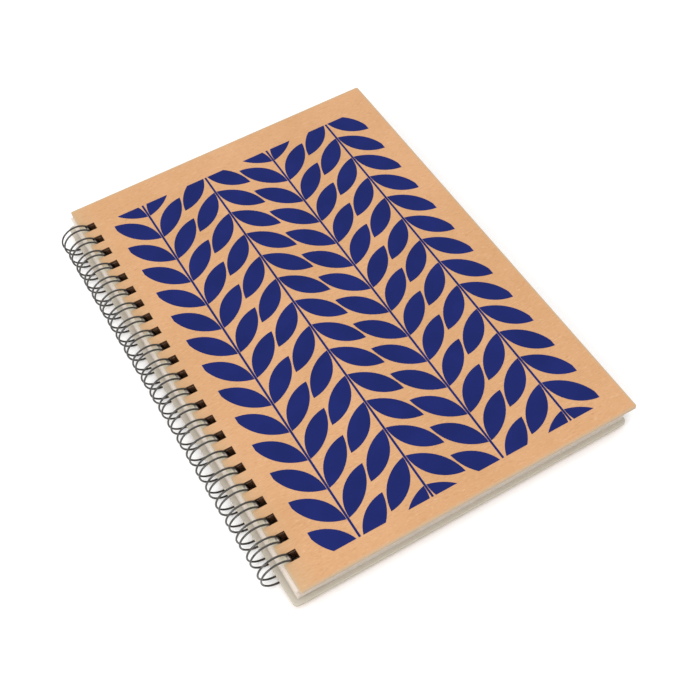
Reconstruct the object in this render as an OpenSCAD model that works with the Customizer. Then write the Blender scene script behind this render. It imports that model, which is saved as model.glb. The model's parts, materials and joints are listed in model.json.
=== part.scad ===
// Wire-bound hardcover notebook, millimetres.
// X runs from the spine to the fore-edge, Y from tail to head, and Z up from the surface it lies on.

/* [Covers] */
// Width of each cover, spine edge to fore-edge
cover_w = 148.7; // [110:0.1:220]
// Height of each cover, tail to head
cover_h = 213.8; // [140:0.1:300]
// Thickness of each cover board
board_t = 1.5; // [1:0.1:3]
// Radius of the front cover's corners
corner_r = 0.8; // [0.3:0.1:8]
// Radius of the back cover's corners
back_corner_r = 2; // [0.3:0.1:8]
// Board left between the front cover's spine edge and its holes, and paper left beside the page holes
hole_margin = 2.1; // [1.5:0.1:6]
// Board left between the back cover's spine edge and its holes
back_margin = 3.2; // [1.5:0.1:6]

/* [Pages] */
// Thickness of the page block
pages_t = 7; // [3:0.1:14]
// How much narrower a page is than a cover
page_short = 3.4; // [0.5:0.1:8]
// How far the covers stand past the pages at head and at tail
page_inset = 1.9; // [0.3:0.1:6]
// Distance over which the last pages bend up to pass the seam of the wire
bend_l = 12; // [6:0.5:25]

/* [Punched holes] */
// Length of each punched hole, across the spine
hole_l = 4.4; // [3:0.1:6]
// Room between the wires of a pair and each side of their hole
hole_side_room = 0.2; // [0.1:0.05:0.8]
// How far the front cover has slid from the wire towards the fore-edge
cover_slack = 2.1; // [0:0.1:3]
// How far the pages have slid from the wire towards the fore-edge
page_slack = 0.9; // [0:0.1:3]
// How far the row of holes lies off the middle of the covers, towards the head
row_shift = 0.6; // [-1.5:0.1:1.5]

/* [Wire] */
// Thickness of the wire
wire_d = 0.8; // [0.6:0.05:1.3]
// Distance from one pair of loops to the next
pitch = 8.4667; // [7.5:0.01:14.3]
// Distance between the two wires of a pair, centre to centre
pair_gap = 2.8; // [2.2:0.1:4]
// Bend radius where a pair turns into the link to the next pair
link_r = 0.9; // [0.7:0.05:1.2]
// Free height inside the loops above the front cover
room_over = 2; // [2:0.05:12]
// Free height inside the loops below the back cover
room_under = 1.5; // [0.3:0.05:3]
// Least distance from the middle of the outer pairs to the ends of the covers
end_room = 12; // [8:0.5:30]

/* [Print] */
// Bare cover between the spine edge and the print
bare_spine = 13.3; // [11:0.1:40]
// Bare cover between the print and the fore-edge
bare_fore = 9.7; // [3:0.1:30]
// Bare cover below the print
bare_tail = 8; // [3:0.1:40]
// Bare cover above the print
bare_head = 14; // [3:0.1:40]
// Thickness of the ink
ink_t = 0.05; // [0.03:0.01:0.2]
// Length of a printed leaf
leaf_l = 23.5; // [15:0.5:40]
// Greatest width of a printed leaf
leaf_w = 8.5; // [5:0.1:12]
// How far a leaf's middle line bows to one side
leaf_bow = 0.5; // [0.1:0.1:1.5]
// Bare line between neighbouring leaves
leaf_gap = 1.3; // [0.8:0.1:4]
// Angle of the leaves to the line across the cover
leaf_angle = 48; // [35:1:60]
// Number of printed stems side by side
stems = 4; // [2:1:8]
// Width of a printed stem
stem_w = 0.9; // [0.5:0.1:2]

/* [Hidden] */
$fn = 96;
// Running clearance between the wire and what it passes
slip = 0.12;
// Extra depth of a cut past the face it opens
past = 1;

// The loops' size follows from what they hold and the free height above and below it
stack_t = 2 * board_t + pages_t;
ring_in = (stack_t + room_over + room_under) / 2;
ring_r = ring_in + wire_d / 2;
ring_out = ring_in + wire_d;
ring_z = ring_out;

// Heights, counted from the loops' centre
back_low = room_under - ring_in;
back_top = back_low + board_t;
pages_top = back_top + pages_t;
front_top = pages_top + board_t;

// Where the pairs of loops lie along the spine
pairs = floor((cover_h - 2 * end_room) / pitch) + 1;
first_pair = row_shift - (pairs - 1) * pitch / 2;
hole_w = pair_gap + wire_d + 2 * hole_side_room;

// Seam, between the last page and the back cover: the links lie on the board, the closed tips beside them
link_z = back_top + slip + wire_d / 2;
link_angle = asin(link_z / norm([ring_r, link_r])) + atan(link_r / ring_r);
tip_r = pair_gap / 2;
tip_rise = 0.22;
tip_angle = 360 + asin((back_top + tip_rise) / norm([ring_r, tip_r])) - atan(tip_r / ring_r);
tip_x = ring_r * cos(tip_angle) - tip_r * sin(tip_angle);
// Tips and links are a hair thicker than the rest of the wire, which ends just inside them
swell = 0.01;
tip_lap = 1;
link_lap = 0.05;

// The loops' outer and inner reach across the spine, at a height
function outer_x(z) = sqrt(pow(ring_out, 2) - pow(z, 2));
function inner_x(z) = sqrt(pow(ring_in, 2) - pow(z, 2));
function nearest(low, high) = low > 0 ? low : high < 0 ? high : 0;
function farthest(low, high) = max(abs(low), abs(high));

// The far end of the back cover's holes almost meets the wire, and the front cover has slid away from it
front_far = outer_x(nearest(pages_top, front_top)) + slip + cover_slack;
front_near = min(front_far - hole_l, inner_x(farthest(pages_top, front_top)) - slip);
back_far = max(outer_x(nearest(back_low, back_top)), tip_x + wire_d / 2) + slip;
back_near = min(back_far - hole_l, inner_x(farthest(back_low, back_top)) - slip);
front_edge = front_near - hole_margin;
back_edge = back_near - back_margin;

// Pages, and how far their holes reach past the middle of the wire on each side
page_far = wire_d / 2 + slip + page_slack;
page_near = page_far - hole_l;
page_shift = hole_margin - page_near;
page_w = cover_w - page_short;
page_h = cover_h - 2 * page_inset;
seam_z = link_z + wire_d / 2 + slip;
seam_x = outer_x(link_z) + slip;
bend_steps = 10;

// The part's origin lies under the middle of the whole notebook
spine_x = -(front_edge + cover_w - ring_out) / 2;

// Print
print_w = cover_w - bare_spine - bare_fore;
print_h = cover_h - bare_tail - bare_head;
stem_gap = print_w / stems;
leaf_step = (leaf_w + leaf_gap) / cos(leaf_angle);
leaf_rows = ceil(print_h / leaf_step) + 2;
// Every second stem grows the other way, and its leaves lie between its neighbours' leaves
leaf_offset = 0.5 - stem_gap * tan(leaf_angle) / leaf_step;

// Places a copy at each pair of loops
module at_pairs() {
    for (i = [0:pairs - 1])
        translate([0, first_pair + i * pitch, 0])
            children();
}

// Board with rounded corners, from its spine edge to its fore-edge
module board_outline(radius) {
    hull()
        for (x = [radius, cover_w - radius], y = [-1, 1])
            translate([x, y * (cover_h / 2 - radius)])
                circle(radius, $fn = 32);
}

module cover(edge, near, far, low, radius) {
    translate([0, 0, low])
        difference() {
            translate([edge, 0, 0])
                linear_extrude(board_t)
                    board_outline(radius);
            at_pairs()
                translate([near, -hole_w / 2, -past])
                    cube([far - near, hole_w, board_t + 2 * past]);
        }
}

module front_cover() {
    color("#e1ae7f")
        translate([spine_x, 0, ring_z])
            cover(front_edge, front_near, front_far, pages_top, corner_r);
}

module back_cover() {
    color("#d2a477")
        translate([spine_x, 0, ring_z])
            cover(back_edge, back_near, back_far, back_low, back_corner_r);
}

// Height of the lowest page's underside, from the seam at 0 to the flat of the book at 1
function bend_height(t) = seam_z + (back_top - seam_z) * (1 - cos(180 * t)) / 2;

// Section through the pages, across the spine: each page lies where the curve of the loops carries it
module page_section() {
    bend = [for (i = [0:bend_steps]) [seam_x + bend_l * i / bend_steps, bend_height(i / bend_steps)]];
    fore = page_w + ring_r;
    difference() {
        intersection() {
            polygon(concat([[-page_shift, pages_top], [-page_shift, seam_z]], bend,
                [[fore, back_top], [fore, pages_top]]));
            translate([page_w - page_shift, 0])
                union() {
                    circle(ring_r);
                    translate([-page_w, -ring_r])
                        square([page_w, 2 * ring_r]);
                }
        }
        translate([-page_shift, 0])
            circle(ring_r);
    }
}

// The holes of all the pages together make a curved channel round the wires
module page_channel() {
    difference() {
        translate([page_far, 0])
            circle(ring_r);
        translate([page_near, 0])
            circle(ring_r);
    }
}

module page_block() {
    color("#f3ead9")
        translate([spine_x, 0, ring_z])
            rotate([90, 0, 0])
                difference() {
                    linear_extrude(page_h, center = true)
                        page_section();
                    for (i = [0:pairs - 1])
                        translate([0, 0, -first_pair - i * pitch])
                            linear_extrude(hole_w, center = true)
                                page_channel();
                }
}

// Wire bent round a centre, from one angle through another
module wire_bend(radius, from, angle, thick = wire_d) {
    rotate([0, 0, from])
        rotate_extrude(angle = angle)
            translate([radius, 0])
                circle(d = thick);
}

// Places a flat bend at an angle on the loops, its own X along the spine and its Y along the wire
module on_loop(angle, along) {
    rotate([0, 0, angle])
        translate([ring_r, 0, along])
            rotate([0, -90, 0])
                children();
}

// One pair: two open loops, closed by a round tip at their far end
module loop_pair() {
    for (side = [-1, 1])
        translate([0, 0, side * pair_gap / 2])
            wire_bend(ring_r, link_angle, tip_angle + tip_lap - link_angle);
    on_loop(tip_angle, 0)
        wire_bend(tip_r, 0, 180, wire_d + swell);
}

// The turned foot at one side of a pair
module foot(side) {
    on_loop(link_angle, side * (tip_r + link_r))
        wire_bend(link_r, side > 0 ? 180 : 270, 90);
}

// Straight wire from one pair's foot to the next
module link() {
    rotate([0, 0, link_angle])
        translate([ring_r, -link_r, tip_r + link_r - link_lap])
            cylinder(d = wire_d + swell, h = pitch - 2 * (tip_r + link_r - link_lap));
}

module wire_binding() {
    color("#4a4036")
        translate([spine_x, 0, ring_z])
            rotate([90, 0, 0])
                for (i = [0:pairs - 1])
                    translate([0, 0, -first_pair - i * pitch]) {
                        loop_pair();
                        foot(-1);
                        foot(1);
                        if (i > 0)
                            link();
                    }
}

// Radius of an arc that rises by a height over a leaf's length
function arc_r(rise) = (pow(leaf_l, 2) / 4 + pow(rise, 2)) / (2 * rise);

// Pointed leaf along X, bounded by two arcs
module leaf() {
    upper = leaf_w / 2 + leaf_bow;
    lower = leaf_w / 2 - leaf_bow;
    intersection() {
        translate([leaf_l / 2, upper - arc_r(upper)])
            circle(arc_r(upper));
        translate([leaf_l / 2, arc_r(lower) - lower])
            circle(arc_r(lower));
    }
}

// Straight stem with leaves in pairs, growing along Y. The leaves lie a share of a step further on.
module sprig(share) {
    translate([-stem_w / 2, -print_h / 2])
        square([stem_w, print_h]);
    for (k = [0:leaf_rows - 1], side = [0, 1])
        translate([0, (k - leaf_rows / 2 + share) * leaf_step])
            mirror([side, 0])
                rotate(leaf_angle)
                    translate([stem_w, 0])
                        leaf();
}

module leaf_print() {
    color("#222d70")
        translate([spine_x + front_edge + bare_spine + print_w / 2,
            (bare_tail - bare_head) / 2, ring_z + front_top])
            linear_extrude(ink_t)
                intersection() {
                    square([print_w, print_h], center = true);
                    for (i = [0:stems - 1])
                        translate([(i + 0.5) * stem_gap - print_w / 2, 0])
                            mirror([0, i % 2])
                                sprig(i % 2 * (leaf_offset - floor(leaf_offset)));
                }
}

front_cover();
leaf_print();
page_block();
back_cover();
wire_binding();
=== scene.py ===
import json
import random
from math import asin, atan, cos, hypot, pi, radians, sin, sqrt

import bmesh
import bpy
from mathutils import Matrix, Quaternion, Vector


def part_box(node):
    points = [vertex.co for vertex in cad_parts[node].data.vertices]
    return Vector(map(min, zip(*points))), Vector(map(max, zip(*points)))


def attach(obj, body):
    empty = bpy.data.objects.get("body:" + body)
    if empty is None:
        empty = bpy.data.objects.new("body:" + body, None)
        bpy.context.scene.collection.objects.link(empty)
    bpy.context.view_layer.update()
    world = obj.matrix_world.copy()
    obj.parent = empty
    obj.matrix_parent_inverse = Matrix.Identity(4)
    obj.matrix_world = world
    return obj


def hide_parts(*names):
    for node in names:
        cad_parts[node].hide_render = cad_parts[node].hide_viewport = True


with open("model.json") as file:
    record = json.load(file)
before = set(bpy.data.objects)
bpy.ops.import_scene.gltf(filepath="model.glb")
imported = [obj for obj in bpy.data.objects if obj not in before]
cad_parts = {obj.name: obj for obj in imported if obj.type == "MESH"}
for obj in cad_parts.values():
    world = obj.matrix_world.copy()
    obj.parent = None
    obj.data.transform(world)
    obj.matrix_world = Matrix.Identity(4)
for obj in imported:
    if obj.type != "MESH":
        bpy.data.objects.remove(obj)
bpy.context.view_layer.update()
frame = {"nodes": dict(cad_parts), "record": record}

MM = 0.001

# Twin-loop wire, in millimetres as all sizes are: three pairs of loops an inch
PITCH = 25.4 / 3
PAIR_GAP = 2.8
WIRE = 0.8
LINK_BEND = 0.9
TIP_RISE = 0.22
SLIP = 0.12

# Punched holes, and how far they lie from the spine edge of each cover and of the sheets
HOLE_LENGTH = 4.4
HOLE_SIDE_ROOM = 0.2
FRONT_MARGIN = 2.1
BACK_MARGIN = 3.2
PAGE_MARGIN = 4.5

# Cover boards: corners and edges, the brown paper outside and the lining inside
FRONT_CORNER = 0.8
BACK_CORNER = 2.0
SOFT_EDGE = 0.14
SKIN = 0.2
LINING = 0.15

# Sheets: how much narrower than the covers, how far in at head and tail, and how loose on the wire
PAGE_SHORT = 3.4
PAGE_INSET = 1.9
PAGE_SLACK = 0.9
BEND_LENGTH = 12.0
SHEET = 0.1
SHEET_GAP = 0.012
STRAY = 0.12


def mm_box(node):
    """Lowest and highest corners of a CAD node, in millimetres."""
    low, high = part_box(node)
    return Vector(low) / MM, Vector(high) / MM


FRONT_LOW, FRONT_HIGH = mm_box("front_cover")
BACK_LOW, BACK_HIGH = mm_box("back_cover")
PAGES_LOW, PAGES_HIGH = mm_box("page_block")
WIRE_LOW, WIRE_HIGH = mm_box("wire_binding")

# The covers turn about the middle of the loops, and the loops stand on the floor
HUB = Vector(frame["record"]["behaviour"]["joints"][0]["pos_m"]) / MM
LOOP = HUB.z - WIRE / 2
BACK_TOP = BACK_HIGH.z - HUB.z
PAGES_TOP = PAGES_HIGH.z - HUB.z

# The row of holes, one for each pair of loops
PAIRS = round((WIRE_HIGH.y - WIRE_LOW.y - PAIR_GAP - 2 * LINK_BEND) / PITCH) + 1
ROW_MIDDLE = (WIRE_LOW.y + WIRE_HIGH.y) / 2
PAIR_PLACES = [ROW_MIDDLE + (i - (PAIRS - 1) / 2) * PITCH for i in range(PAIRS)]
HOLE_WIDTH = PAIR_GAP + WIRE + 2 * HOLE_SIDE_ROOM

# Seam of the wire, between the last page and the back cover
TIP_BEND = PAIR_GAP / 2
LINK_HEIGHT = BACK_TOP + SLIP + WIRE / 2
LINK_ANGLE = asin(LINK_HEIGHT / hypot(LOOP, LINK_BEND)) + atan(LINK_BEND / LOOP)
TIP_ANGLE = 2 * pi + asin((BACK_TOP + TIP_RISE) / hypot(LOOP, TIP_BEND)) - atan(TIP_BEND / LOOP)
SEAM_TOP = LINK_HEIGHT + WIRE / 2 + SLIP
SEAM_END = sqrt(HUB.z**2 - LINK_HEIGHT**2) + SLIP

# The spine edge of a page, counted back from the middle of the wire at its height
PAGE_EDGE = FRONT_MARGIN + HOLE_LENGTH - WIRE / 2 - SLIP - PAGE_SLACK


# Materials

# Patterns of the brown paper. Its grain is about 0.1 mm across, and is drawn 0.5 mm across so that it shows.
# A fibre is 2 to 3 mm long and finer than a hair, and is drawn 0.2 mm wide so that it shows. Fibres that lie
# another way are shifted too, so that no two patterns meet.
PAPER_CLOUD = 26.0
PAPER_GRAIN = 0.5
FIBRE = (2.2, 0.2, 0.5)
FIBRE_SHIFT = 90

# Patterns of the grey board: pressed flakes in thin layers, and dark specks of old print
FLAKE = (2.2, 2.2, 0.16)
SPECK = 0.35

# Patterns of the ink and of the lacquer, which dry a little thicker here and there, and of the studio board
INK_CLOUD = 14.0
LACQUER_CLOUD = 1.6
STUDIO_CLOUD = 900.0

# Patterns of the writing paper. A sheet is 0.1 mm thick, and its line is drawn 0.17 mm wide so that it
# shows. The paper's tooth is about 0.1 mm across, and is drawn 0.3 mm across so that it shows.
SHEET_LINE = (28.0, 28.0, 0.17)
TOOTH = 0.3

# Marks on the covers, their reach and their share where they are strongest: a ragged worn rim, a painted
# pale highlight under each pair of loops, paper that turns greyer from a little past the holes towards the
# spine, and brown that hands rub into the front's cut edge
RIM_REACH = 0.95
RIM_SHARE = 0.75
RAG = 3.0
STRIPE_HALF = PAIR_GAP / 2 - 0.1
STRIPE_FADED = PAIR_GAP / 2 + 0.9
STRIPE_REACH = 1.2
STRIPE_SHARE = 0.92
GREY_REACH = 3.0
GREY_SHARE = 0.4
BROWN_SHARE = 0.5

# Half the width over which two layers of a cut edge run into each other
LAYER_BLEND = 0.04

# A face that looks up or down by less than this share is a side
SIDE = 0.6

# Painted hole shade: a hole lies at least this far in from the outline, and a ledge in it lies at least this
# far under the top
HOLE_IN = FRONT_MARGIN - 0.6
LEDGE_UNDER = 0.13


def paint(colour):
    """The linear colour of an sRGB hex value such as #e1ae7f."""
    channels = [int(colour[i:i + 2], 16) / 255 for i in (1, 3, 5)]
    return [c / 12.92 if c <= 0.04045 else ((c + 0.055) / 1.055) ** 2.4 for c in channels] + [1]


def add(tree, kind, inputs, **settings):
    """Adds a node with its settings. An input is a number, a colour, another node or one of its sockets."""
    made = tree.nodes.new(kind)
    for name, value in settings.items():
        setattr(made, name, value)
    live = [socket for socket in made.inputs if socket.enabled]
    for key, value in inputs.items():
        socket = live[key] if isinstance(key, int) else next(s for s in live if s.name == key)
        if isinstance(value, bpy.types.Node):
            value = next(s for s in value.outputs if s.enabled)
        if isinstance(value, bpy.types.NodeSocket):
            tree.links.new(value, socket)
        else:
            socket.default_value = value
    return made


def start_material(name, roughness, metallic=0.0):
    """A new material, its node tree and shader, and the place on the piece in millimetres."""
    material = bpy.data.materials.new(name)
    material.use_nodes = True
    tree = material.node_tree
    shader = tree.nodes["Principled BSDF"]
    shader.inputs["Roughness"].default_value = roughness
    shader.inputs["Metallic"].default_value = metallic
    metres = add(tree, "ShaderNodeTexCoord", {}).outputs["Object"]
    place = add(tree, "ShaderNodeVectorMath", {"Vector": metres, "Scale": 1 / MM}, operation="SCALE")
    return material, tree, shader, place


def finish_material(tree, shader, colour, relief, depth):
    """Joins colour and surface relief to the shader. depth is the height of the relief, in millimetres."""
    raised = add(tree, "ShaderNodeBump", {"Height": relief, "Distance": depth * MM})
    tree.links.new(raised.outputs["Normal"], shader.inputs["Normal"])
    tree.links.new(next(s for s in colour.outputs if s.enabled), shader.inputs["Base Color"])


def brown_paper(tree, place):
    """Uncoated brown wrapping paper of unbleached fibre: warm, faintly clouded, with stray fibres in it."""
    clouds = add(tree, "ShaderNodeTexNoise", {"Vector": place, "Scale": 1 / PAPER_CLOUD, "Detail": 3.0})
    cloudy = add(tree, "ShaderNodeMapRange", {"Value": clouds, "From Min": 0.35, "From Max": 0.65})
    warm = add(tree, "ShaderNodeMix", {"Factor": cloudy, "A": paint("#d1a074"), "B": paint("#ca996b")},
               data_type="RGBA")
    grain = add(tree, "ShaderNodeTexNoise", {"Vector": place, "Scale": 1 / PAPER_GRAIN, "Detail": 3.0})
    grainy = add(tree, "ShaderNodeMapRange", {
        "Value": grain, "From Min": 0.3, "From Max": 0.7, "To Max": 0.22})
    colour = add(tree, "ShaderNodeMix", {"Factor": grainy, "A": warm, "B": paint("#bf8c5e")},
                 data_type="RGBA")
    # Two lots of dark fibres and one of pale ones, each lying its own way
    for turn, tint in ((0.4, "#aa7648"), (-0.9, "#aa7648"), (1.5, "#e0bd95")):
        lie = add(tree, "ShaderNodeMapping", {
            "Vector": place, "Rotation": (0, 0, turn), "Location": (turn * FIBRE_SHIFT, 0, 0),
            "Scale": [1 / size for size in FIBRE]})
        fibre = add(tree, "ShaderNodeTexNoise", {"Vector": lie, "Scale": 1.0, "Detail": 0.0})
        seen = add(tree, "ShaderNodeMapRange", {
            "Value": fibre, "From Min": 0.70, "From Max": 0.78, "To Max": 0.45})
        colour = add(tree, "ShaderNodeMix", {"Factor": seen, "A": colour, "B": paint(tint)},
                     data_type="RGBA")
    return colour, grain


def grey_board(tree, place):
    """Pressed recycled grey board, cut by a steel rule: the cut shows thin pale and dark layers."""
    flat = add(tree, "ShaderNodeVectorMath", {0: place, 1: [1 / size for size in FLAKE]},
               operation="MULTIPLY")
    layers = add(tree, "ShaderNodeTexNoise", {"Vector": flat, "Scale": 1.0, "Detail": 2.0})
    layered = add(tree, "ShaderNodeMapRange", {"Value": layers, "From Min": 0.35, "From Max": 0.68})
    board = add(tree, "ShaderNodeMix", {"Factor": layered, "A": paint("#b7b2a0"), "B": paint("#a5a18f")},
                data_type="RGBA")
    specks = add(tree, "ShaderNodeTexNoise", {"Vector": place, "Scale": 1 / SPECK, "Detail": 1.0})
    speckled = add(tree, "ShaderNodeMapRange", {
        "Value": specks, "From Min": 0.62, "From Max": 0.72, "To Max": 0.4})
    return add(tree, "ShaderNodeMix", {"Factor": speckled, "A": board, "B": paint("#8f856e")},
               data_type="RGBA")


def distance_in(tree, place, low, high):
    """Millimetres in from the nearest side of a cover or of the pages, seen from above."""
    split = add(tree, "ShaderNodeSeparateXYZ", {"Vector": place})
    nearest = None
    for axis, start, end in (("X", low.x, high.x), ("Y", low.y, high.y)):
        for way, side in ((1, start), (-1, end)):
            gap = add(tree, "ShaderNodeMath", {0: split.outputs[axis], 1: way, 2: -way * side},
                      operation="MULTIPLY_ADD")
            if nearest:
                gap = add(tree, "ShaderNodeMath", {0: nearest, 1: gap}, operation="MINIMUM")
            nearest = gap
    return nearest


def upward(tree):
    """How much the surface looks up: 1 on top, 0 on a side, -1 underneath."""
    facing = add(tree, "ShaderNodeTexCoord", {}).outputs["Normal"]
    return add(tree, "ShaderNodeSeparateXYZ", {"Vector": facing}).outputs["Z"]


def painted_hole_shade(tree, place, inside, top):
    """Share of painted shade in a punched hole: what is well inside the outline and looks sideways, or looks
    up from below the top. It is painted dark brown where shade falls deep in the hole."""
    up = upward(tree)
    height = add(tree, "ShaderNodeSeparateXYZ", {"Vector": place}).outputs["Z"]
    not_down = add(tree, "ShaderNodeMath", {0: up, 1: -SIDE}, operation="GREATER_THAN")
    not_up = add(tree, "ShaderNodeMath", {0: up, 1: SIDE}, operation="LESS_THAN")
    below = add(tree, "ShaderNodeMath", {0: height, 1: top - LEDGE_UNDER}, operation="LESS_THAN")
    either = add(tree, "ShaderNodeMath", {0: not_up, 1: below}, operation="MAXIMUM")
    wall = add(tree, "ShaderNodeMath", {0: not_down, 1: either}, operation="MULTIPLY")
    well_in = add(tree, "ShaderNodeMath", {0: inside, 1: HOLE_IN}, operation="GREATER_THAN")
    return add(tree, "ShaderNodeMath", {0: wall, 1: well_in}, operation="MULTIPLY")


def painted_loop_highlight(tree, split, low):
    """Share of the painted highlight on the front cover: a pale stripe for each pair of loops, from its hole
    to the edge.
    """
    # Pitches from the first pair, then pitches from the nearest pair
    step = add(tree, "ShaderNodeMath", {0: split.outputs["Y"], 1: 1 / PITCH, 2: -PAIR_PLACES[0] / PITCH},
               operation="MULTIPLY_ADD")
    swing = add(tree, "ShaderNodeMath", {0: step, 1: 0.5}, operation="PINGPONG")
    stripe = add(tree, "ShaderNodeMapRange", {
        "Value": swing, "From Min": STRIPE_HALF / PITCH, "From Max": STRIPE_FADED / PITCH,
        "To Min": 1.0, "To Max": 0.0}, interpolation_type="SMOOTHSTEP")
    hole_start = low.x + FRONT_MARGIN
    reach = add(tree, "ShaderNodeMapRange", {
        "Value": split.outputs["X"], "From Min": hole_start, "From Max": hole_start + STRIPE_REACH,
        "To Min": STRIPE_SHARE, "To Max": 0.0}, interpolation_type="SMOOTHSTEP")
    from_middle = add(tree, "ShaderNodeMath", {0: split.outputs["Y"], 1: ROW_MIDDLE}, operation="SUBTRACT")
    off_centre = add(tree, "ShaderNodeMath", {0: from_middle}, operation="ABSOLUTE")
    holed = add(tree, "ShaderNodeMath", {0: off_centre, 1: PAIRS * PITCH / 2}, operation="LESS_THAN")
    both = add(tree, "ShaderNodeMath", {0: stripe, 1: reach}, operation="MULTIPLY")
    return add(tree, "ShaderNodeMath", {0: both, 1: holed}, operation="MULTIPLY")


def paper_on_board(name, low, high, faces_up):
    """Brown paper laminated on grey board and lined inside with plain paper, matt all over, with painted
    shade in its holes. Only on the cover that faces up do hands rub brown into the cut edge, and is a pale
    highlight painted under each pair of loops."""
    material, tree, shader, place = start_material(name, roughness=0.78)
    split = add(tree, "ShaderNodeSeparateXYZ", {"Vector": place})
    way = -1 if faces_up else 1
    outer = high.z if faces_up else low.z
    depth = add(tree, "ShaderNodeMath", {0: split.outputs["Z"], 1: way, 2: -way * outer},
                operation="MULTIPLY_ADD")
    skin, grain = brown_paper(tree, place)

    # The paper greys towards the spine
    greyed_from = low.x + FRONT_MARGIN + HOLE_LENGTH + GREY_REACH
    near_spine = add(tree, "ShaderNodeMapRange", {
        "Value": split.outputs["X"], "From Min": greyed_from, "From Max": low.x, "To Max": GREY_SHARE})
    skin = add(tree, "ShaderNodeMix", {"Factor": near_spine, "A": skin, "B": paint("#bda680")},
               data_type="RGBA")

    # The rim is worn through the brown surface, more in some places than in others
    ragged = add(tree, "ShaderNodeTexNoise", {"Vector": place, "Scale": 1 / RAG, "Detail": 3.0})
    inside = distance_in(tree, place, low, high)
    rim = add(tree, "ShaderNodeMath", {0: ragged, 1: -0.5, 2: inside}, operation="MULTIPLY_ADD")
    worn = add(tree, "ShaderNodeMapRange", {
        "Value": rim, "From Min": 0.0, "From Max": RIM_REACH, "To Min": RIM_SHARE, "To Max": 0.0})
    skin = add(tree, "ShaderNodeMix", {"Factor": worn, "A": skin, "B": paint("#bea585")}, data_type="RGBA")

    board = grey_board(tree, place)
    if faces_up:
        # Hands rub the brown of the paper into the front board's cut edge
        board = add(tree, "ShaderNodeMix", {"Factor": BROWN_SHARE, "A": board, "B": paint("#bf9570")},
                    data_type="RGBA")
    in_board = add(tree, "ShaderNodeMapRange", {
        "Value": depth, "From Min": SKIN - LAYER_BLEND, "From Max": SKIN + LAYER_BLEND})
    cut = add(tree, "ShaderNodeMix", {"Factor": in_board, "A": skin, "B": board}, data_type="RGBA")
    if faces_up:
        # Painted highlight: the paper is painted pale under each pair of loops, right over the edge
        loop_highlight = painted_loop_highlight(tree, split, low)
        cut = add(tree, "ShaderNodeMix", {"Factor": loop_highlight, "A": cut, "B": paint("#c7c1ab")},
                  data_type="RGBA")

    lining = add(tree, "ShaderNodeMix", {"Factor": grain, "A": paint("#cdc5b7"), "B": paint("#bfb7a9")},
                 data_type="RGBA")
    lining_from = high.z - low.z - LINING
    in_lining = add(tree, "ShaderNodeMapRange", {
        "Value": depth, "From Min": lining_from - LAYER_BLEND, "From Max": lining_from + LAYER_BLEND})
    lined = add(tree, "ShaderNodeMix", {"Factor": in_lining, "A": cut, "B": lining}, data_type="RGBA")
    # Painted shade: the sides of each hole and the ledges in it are painted dark brown
    hole_shade = painted_hole_shade(tree, place, inside, high.z)
    colour = add(tree, "ShaderNodeMix", {"Factor": hole_shade, "A": lined, "B": paint("#6b472d")},
                 data_type="RGBA")
    finish_material(tree, shader, colour, grain, depth=0.03)
    return material


def screen_print_ink():
    """Water-based ink, screen-printed on brown paper: flat and even, with the paper's grain just felt
    through it."""
    material, tree, shader, place = start_material("navy screen-print ink", roughness=0.7)
    # The ink sinks into the paper and dries porous, so its surface mirrors less than a varnish would
    shader.inputs["Specular IOR Level"].default_value = 0.15
    clouds = add(tree, "ShaderNodeTexNoise", {"Vector": place, "Scale": 1 / INK_CLOUD, "Detail": 2.0})
    cloudy = add(tree, "ShaderNodeMapRange", {"Value": clouds, "From Min": 0.3, "From Max": 0.7})
    ink = add(tree, "ShaderNodeMix", {"Factor": cloudy, "A": paint("#122065"), "B": paint("#0f1c5c")},
              data_type="RGBA")
    grain = add(tree, "ShaderNodeTexNoise", {"Vector": place, "Scale": 1 / PAPER_GRAIN, "Detail": 3.0})
    thin = add(tree, "ShaderNodeMapRange", {
        "Value": grain, "From Min": 0.62, "From Max": 0.8, "To Max": 0.35})
    colour = add(tree, "ShaderNodeMix", {"Factor": thin, "A": ink, "B": paint("#1e2a70")}, data_type="RGBA")
    finish_material(tree, shader, colour, grain, depth=0.02)
    return material


def writing_paper():
    """Cream uncoated writing paper, cut by a guillotine: the cut edges show the sheets as faint lines, and a
    page is plain."""
    material, tree, shader, place = start_material("cream writing paper", roughness=0.85)
    flat = add(tree, "ShaderNodeVectorMath", {0: place, 1: [1 / size for size in SHEET_LINE]},
               operation="MULTIPLY")
    sheets = add(tree, "ShaderNodeTexNoise", {"Vector": flat, "Scale": 1.0, "Detail": 1.0})
    lines = add(tree, "ShaderNodeMapRange", {"Value": sheets, "From Min": 0.3, "From Max": 0.7})
    tilt = add(tree, "ShaderNodeMath", {0: upward(tree)}, operation="ABSOLUTE")
    at_edge = add(tree, "ShaderNodeMath", {0: tilt, 1: SIDE}, operation="LESS_THAN")
    lined = add(tree, "ShaderNodeMath", {0: lines, 1: at_edge}, operation="MULTIPLY")
    cream = add(tree, "ShaderNodeMix", {"Factor": lined, "A": paint("#dfd5ca"), "B": paint("#d3c8bc")},
                data_type="RGBA")
    tooth = add(tree, "ShaderNodeTexNoise", {"Vector": place, "Scale": 1 / TOOTH, "Detail": 2.0})
    rough = add(tree, "ShaderNodeMapRange", {
        "Value": tooth, "From Min": 0.4, "From Max": 0.8, "To Max": 0.2})
    cut = add(tree, "ShaderNodeMix", {"Factor": rough, "A": cream, "B": paint("#c8beb0")},
              data_type="RGBA")
    inside = distance_in(tree, place, PAGES_LOW, PAGES_HIGH)
    # Painted shade: the sides of the sheets' holes are painted brown, as the shade deep in the hole
    hole_shade = painted_hole_shade(tree, place, inside, PAGES_HIGH.z)
    colour = add(tree, "ShaderNodeMix", {"Factor": hole_shade, "A": cut, "B": paint("#785236")},
                 data_type="RGBA")
    finish_material(tree, shader, colour, tooth, depth=0.01)
    return material


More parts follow.
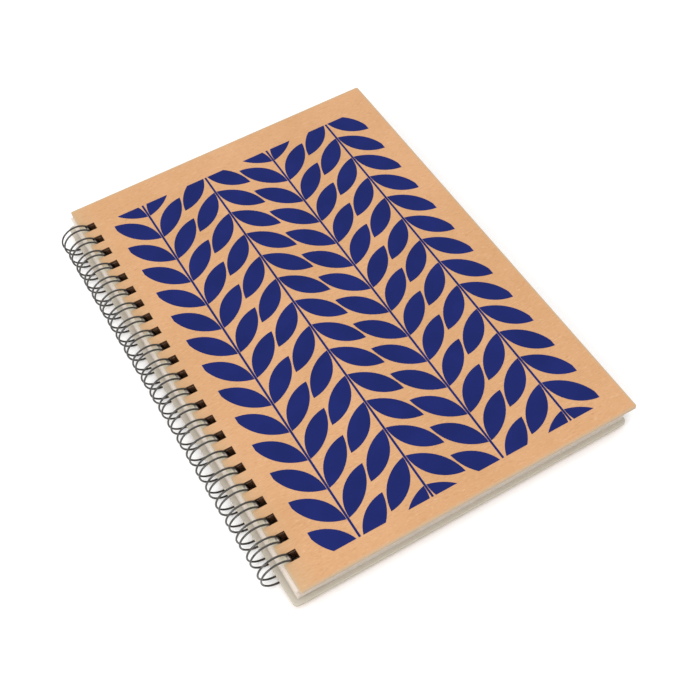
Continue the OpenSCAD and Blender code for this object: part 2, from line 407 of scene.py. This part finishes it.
def lacquered_wire():
    """Drawn steel wire with a thin bronze-black lacquer: satin and uneven, the metal shining through."""
    material, tree, shader, place = start_material(
        "bronze-black lacquered steel wire", roughness=0.3, metallic=0.9)
    shader.inputs["Coat Weight"].default_value = 0.5
    shader.inputs["Coat Roughness"].default_value = 0.15
    uneven = add(tree, "ShaderNodeTexNoise", {"Vector": place, "Scale": 1 / LACQUER_CLOUD, "Detail": 3.0})
    spread = add(tree, "ShaderNodeMapRange", {"Value": uneven, "From Min": 0.3, "From Max": 0.7})
    colour = add(tree, "ShaderNodeMix", {"Factor": spread, "A": paint("#403f3d"), "B": paint("#514f4c")},
                 data_type="RGBA")
    finish_material(tree, shader, colour, uneven, depth=0.01)
    return material


def studio_board():
    """Matt white acrylic board, seamless and lit from behind as a light table is: it stays white under the
    notebook's edges."""
    material, tree, shader, place = start_material("matt white acrylic board", roughness=0.9)
    shader.inputs["Emission Color"].default_value = (1, 1, 1, 1)
    shader.inputs["Emission Strength"].default_value = 0.06
    clouds = add(tree, "ShaderNodeTexNoise", {"Vector": place, "Scale": 1 / STUDIO_CLOUD, "Detail": 1.0})
    colour = add(tree, "ShaderNodeMix", {"Factor": clouds, "A": paint("#fbfbfb"), "B": paint("#fdfdfd")},
                 data_type="RGBA")
    finish_material(tree, shader, colour, clouds, depth=0.01)
    return material


# Shapes

def show(name, mesh, material, body, replaced):
    """Puts a finished mesh in the scene in place of a CAD node."""
    piece = bpy.data.objects.new(name, mesh)
    bpy.context.scene.collection.objects.link(piece)
    mesh.materials.clear()
    mesh.materials.append(material)
    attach(piece, body)
    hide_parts(replaced)


def rounded_outline(low, high, radius, steps=6):
    """Corner points of a rectangle whose corners are arcs."""
    corners = ((high.x - radius, high.y - radius), (low.x + radius, high.y - radius),
               (low.x + radius, low.y + radius), (high.x - radius, low.y + radius))
    turns = [pi / 2 * i / steps for i in range(steps + 1)]
    return [(x + radius * cos(quarter * pi / 2 + turn), y + radius * sin(quarter * pi / 2 + turn))
            for quarter, (x, y) in enumerate(corners) for turn in turns]


def draw_outline(curve, points):
    """Adds a closed line to a flat curve."""
    line = curve.splines.new("POLY")
    line.points.add(len(points) - 1)
    for point, (x, y) in zip(line.points, points):
        point.co = (x * MM, y * MM, 0, 1)
    line.use_cyclic_u = True


def punched_board(name, low, high, corner, margin):
    """Cover board with its holes. The cutting rule pressed every edge slightly round, at the holes too."""
    curve = bpy.data.curves.new(name, "CURVE")
    curve.dimensions = "2D"
    curve.fill_mode = "BOTH"
    curve.extrude = ((high.z - low.z) / 2 - SOFT_EDGE) * MM
    curve.bevel_depth = SOFT_EDGE * MM
    curve.bevel_resolution = 2
    curve.offset = -SOFT_EDGE * MM
    draw_outline(curve, rounded_outline(low, high, corner))
    near, far = low.x + margin, low.x + margin + HOLE_LENGTH
    for middle in PAIR_PLACES:
        tail, head = middle - HOLE_WIDTH / 2, middle + HOLE_WIDTH / 2
        draw_outline(curve, [(near, tail), (far, tail), (far, head), (near, head)])
    drawn = bpy.data.objects.new(name, curve)
    bpy.context.scene.collection.objects.link(drawn)
    mesh = bpy.data.meshes.new_from_object(drawn.evaluated_get(bpy.context.evaluated_depsgraph_get()))
    bpy.data.objects.remove(drawn)
    mesh.transform(Matrix.Translation((0, 0, (low.z + high.z) / 2 * MM)))
    work = bmesh.new()
    work.from_mesh(mesh)
    bmesh.ops.remove_doubles(work, verts=work.verts, dist=1e-4 * MM)
    bmesh.ops.recalc_face_normals(work, faces=work.faces)
    for face in work.faces:
        # Faces square to an axis stay flat, and the round edges between them are smooth
        face.smooth = max(map(abs, face.normal)) < 0.999
    work.to_mesh(mesh)
    work.free()
    return mesh


def punched_sheet(columns, rows, heights, thick):
    """Points and faces of one sheet of paper, over a grid of columns and rows with the holes left out."""
    wide, deep = len(columns), len(rows)
    points = [(x, y, z + lift) for lift in (0, thick) for x, z in zip(columns, heights) for y in rows]
    faces = []

    def at(i, j, side):
        return (side * wide + i) * deep + j

    def paper(i, j):
        punched = i == 1 and j % 2
        return 0 <= i < wide - 1 and 0 <= j < deep - 1 and not punched

    for i in range(wide - 1):
        for j in range(deep - 1):
            if not paper(i, j):
                continue
            corners = ((i, j), (i + 1, j), (i + 1, j + 1), (i, j + 1))
            beyond = ((i, j - 1), (i + 1, j), (i, j + 1), (i - 1, j))
            faces.append([at(a, b, 1) for a, b in corners])
            faces.append([at(a, b, 0) for a, b in reversed(corners)])
            for k, neighbour in enumerate(beyond):
                if not paper(*neighbour):
                    start, end = corners[k], corners[(k + 1) % 4]
                    faces.append([at(*start, 0), at(*end, 0), at(*end, 1), at(*start, 1)])
    return points, faces


def page_level(x, share):
    """Height at x of a level in the page block: share is 0 at its underside and 1 at its top. The last pages
    bend up over the seam."""
    along = min(max((x - HUB.x - SEAM_END) / BEND_LENGTH, 0), 1)
    under = SEAM_TOP + (BACK_TOP - SEAM_TOP) * (1 - cos(pi * along)) / 2
    return HUB.z + under + share * (PAGES_TOP - under)


def loose_pages():
    """Punched sheets, each where the curve of the loops carries it, and none quite square with the next."""
    chance = random.Random(7)
    width = FRONT_HIGH.x - FRONT_LOW.x - PAGE_SHORT
    half = (FRONT_HIGH.y - FRONT_LOW.y) / 2 - PAGE_INSET
    count = round((PAGES_TOP - BACK_TOP) / SHEET)
    squeezed = SHEET * (PAGES_TOP - SEAM_TOP) / (PAGES_TOP - BACK_TOP) - SHEET_GAP
    # Wider than a cover's holes by the stray, so that no sheet shows in them
    hole = HOLE_WIDTH / 2 + STRAY
    rows = [-half] + [middle + side * hole for middle in PAIR_PLACES for side in (-1, 1)] + [half]
    flat_from = HUB.x + SEAM_END + BEND_LENGTH
    bend_steps = 6
    points, faces = [], []
    for k in range(count):
        share = (k + 0.5) / count
        at_spine = SEAM_TOP + share * (PAGES_TOP - SEAM_TOP)
        at_fore = BACK_TOP + share * (PAGES_TOP - BACK_TOP)
        edge = HUB.x + sqrt(LOOP**2 - at_spine**2) - PAGE_EDGE
        fore = HUB.x + sqrt(LOOP**2 - at_fore**2) - PAGE_EDGE + width
        near, far = edge + PAGE_MARGIN, edge + PAGE_MARGIN + HOLE_LENGTH
        bend = [far + (flat_from - far) * i / bend_steps for i in range(bend_steps + 1)]
        columns = [edge, near] + bend + [fore]
        heights = [page_level(x, k / count) + SHEET_GAP / 2 for x in columns]
        sheet_points, sheet_faces = punched_sheet(columns, rows, heights, squeezed)
        stray = Vector((chance.uniform(-STRAY, STRAY / 3), chance.uniform(-STRAY, STRAY), 0))
        faces += [[len(points) + corner for corner in face] for face in sheet_faces]
        points += [(Vector(point) + stray) * MM for point in sheet_points]
    mesh = bpy.data.meshes.new("page_sheets")
    mesh.from_pydata(points, [], faces)
    return mesh


def loop_point(angle, along, down=0.0):
    """A place on the loops at an angle round the hub, moved back along the wire's own line there."""
    x = LOOP * cos(angle) + down * sin(angle)
    z = LOOP * sin(angle) - down * cos(angle)
    return Vector((HUB.x + x, along, HUB.z + z))


def wire_path():
    """The one wire from end to end: foot, loop, round tip, loop, foot and link, for each pair in turn."""
    turns = 76
    bends = 8
    quarter = [pi / 2 * i / bends for i in range(bends)]
    half_turn = [pi * i / (2 * bends) for i in range(2 * bends)]
    around = [LINK_ANGLE + (TIP_ANGLE - LINK_ANGLE) * i / turns for i in range(turns + 1)]
    path = []
    for middle in PAIR_PLACES:
        foot = middle - TIP_BEND - LINK_BEND
        path += [loop_point(LINK_ANGLE, foot + LINK_BEND * sin(t), LINK_BEND * cos(t)) for t in quarter]
        path += [loop_point(angle, middle - TIP_BEND) for angle in around[:-1]]
        path += [loop_point(TIP_ANGLE, middle - TIP_BEND * cos(t), -TIP_BEND * sin(t)) for t in half_turn]
        path += [loop_point(angle, middle + TIP_BEND) for angle in around[:0:-1]]
        foot = middle + TIP_BEND + LINK_BEND
        path += [loop_point(LINK_ANGLE, foot - LINK_BEND * cos(t), LINK_BEND * sin(t)) for t in quarter]
        path.append(loop_point(LINK_ANGLE, foot, LINK_BEND))
    return path


def round_wire(name, path, thick, sides=10):
    """Round wire along a path."""
    points, faces = [], []
    across = Vector((1, 0, 0))
    last = len(path) - 1
    for i, middle in enumerate(path):
        ahead = (path[min(i + 1, last)] - path[max(i - 1, 0)]).normalized()
        across = (across - ahead * across.dot(ahead)).normalized()
        up = ahead.cross(across)
        for s in range(sides):
            turn = 2 * pi * s / sides
            points.append((middle + (across * cos(turn) + up * sin(turn)) * thick / 2) * MM)
        if i:
            here, before = i * sides, (i - 1) * sides
            faces += [[before + s, before + (s + 1) % sides, here + (s + 1) % sides, here + s]
                      for s in range(sides)]
    faces.append(list(range(sides))[::-1])
    faces.append([last * sides + s for s in range(sides)])
    mesh = bpy.data.meshes.new(name)
    mesh.from_pydata(points, [], faces)
    mesh.shade_smooth()
    return mesh


# The notebook

show("front_board", punched_board("front_board", FRONT_LOW, FRONT_HIGH, FRONT_CORNER, FRONT_MARGIN),
     paper_on_board("brown paper on grey board, front", FRONT_LOW, FRONT_HIGH, faces_up=True),
     "front", "front_cover")
show("back_board", punched_board("back_board", BACK_LOW, BACK_HIGH, BACK_CORNER, BACK_MARGIN),
     paper_on_board("brown paper on grey board, back", BACK_LOW, BACK_HIGH, faces_up=False),
     "back", "back_cover")
show("page_sheets", loose_pages(), writing_paper(), "book", "page_block")
show("twin_loop_wire", round_wire("twin_loop_wire", wire_path(), WIRE), lacquered_wire(),
     "book", "wire_binding")
printed = frame["nodes"]["leaf_print"]
for slot in printed.material_slots:
    slot.material = screen_print_ink()


# Studio

def make_floor(reach):
    """A square floor that runs past the picture on every side."""
    corners = [(-reach, -reach, 0), (reach, -reach, 0), (reach, reach, 0), (-reach, reach, 0)]
    mesh = bpy.data.meshes.new("floor")
    mesh.from_pydata(corners, [], [(0, 1, 2, 3)])
    mesh.materials.append(studio_board())
    floor = bpy.data.objects.new("floor", mesh)
    bpy.context.scene.collection.objects.link(floor)


def make_light(name, place, size, watts):
    """A square soft light that shines at the notebook."""
    lamp = bpy.data.lights.new(name, "AREA")
    lamp.size = size
    lamp.energy = watts
    light = bpy.data.objects.new(name, lamp)
    light.location = place
    light.rotation_mode = "QUATERNION"
    light.rotation_quaternion = (-Vector(place)).to_track_quat("-Z", "Y")
    bpy.context.scene.collection.objects.link(light)


def make_room(strength):
    """Even white light from all round."""
    world = bpy.data.worlds.new("white room")
    world.use_nodes = True
    world.node_tree.nodes["Background"].inputs["Color"].default_value = (1, 1, 1, 1)
    world.node_tree.nodes["Background"].inputs["Strength"].default_value = strength
    bpy.context.scene.world = world


def make_camera(target, distance, heading, height, roll, lens):
    """Looks at the target along a heading right of +Y and down by height, in degrees, tipped sideways by
    roll. target and distance are in millimetres."""
    ahead = Vector((sin(radians(heading)) * cos(radians(height)),
                    cos(radians(heading)) * cos(radians(height)), -sin(radians(height))))
    camera = bpy.data.objects.new("camera", bpy.data.cameras.new("camera"))
    camera.location = (Vector(target) - ahead * distance) * MM
    camera.rotation_mode = "QUATERNION"
    camera.rotation_quaternion = ahead.to_track_quat("-Z", "Y") @ Quaternion((0, 0, 1), radians(roll))
    camera.data.sensor_width = 36
    camera.data.lens = lens
    camera.data.clip_start = 0.01
    bpy.context.scene.collection.objects.link(camera)
    bpy.context.scene.camera = camera


make_floor(reach=3.0)
make_room(strength=0.8)
make_light("overhead softbox", place=(0.1, 0.1, 1.6), size=1.6, watts=8)
make_light("window side softbox", place=(-1.1, -0.45, 0.8), size=0.9, watts=9)
# Fitted to the front cover's corners and holes in the photograph
make_camera(target=(FRONT_LOW.x + 67.93, FRONT_LOW.y + 81.99, FRONT_HIGH.z), distance=483.79,
            heading=26.563, height=54.503, roll=-4.525, lens=61.504)
bpy.context.scene.view_settings.view_transform = "Standard"
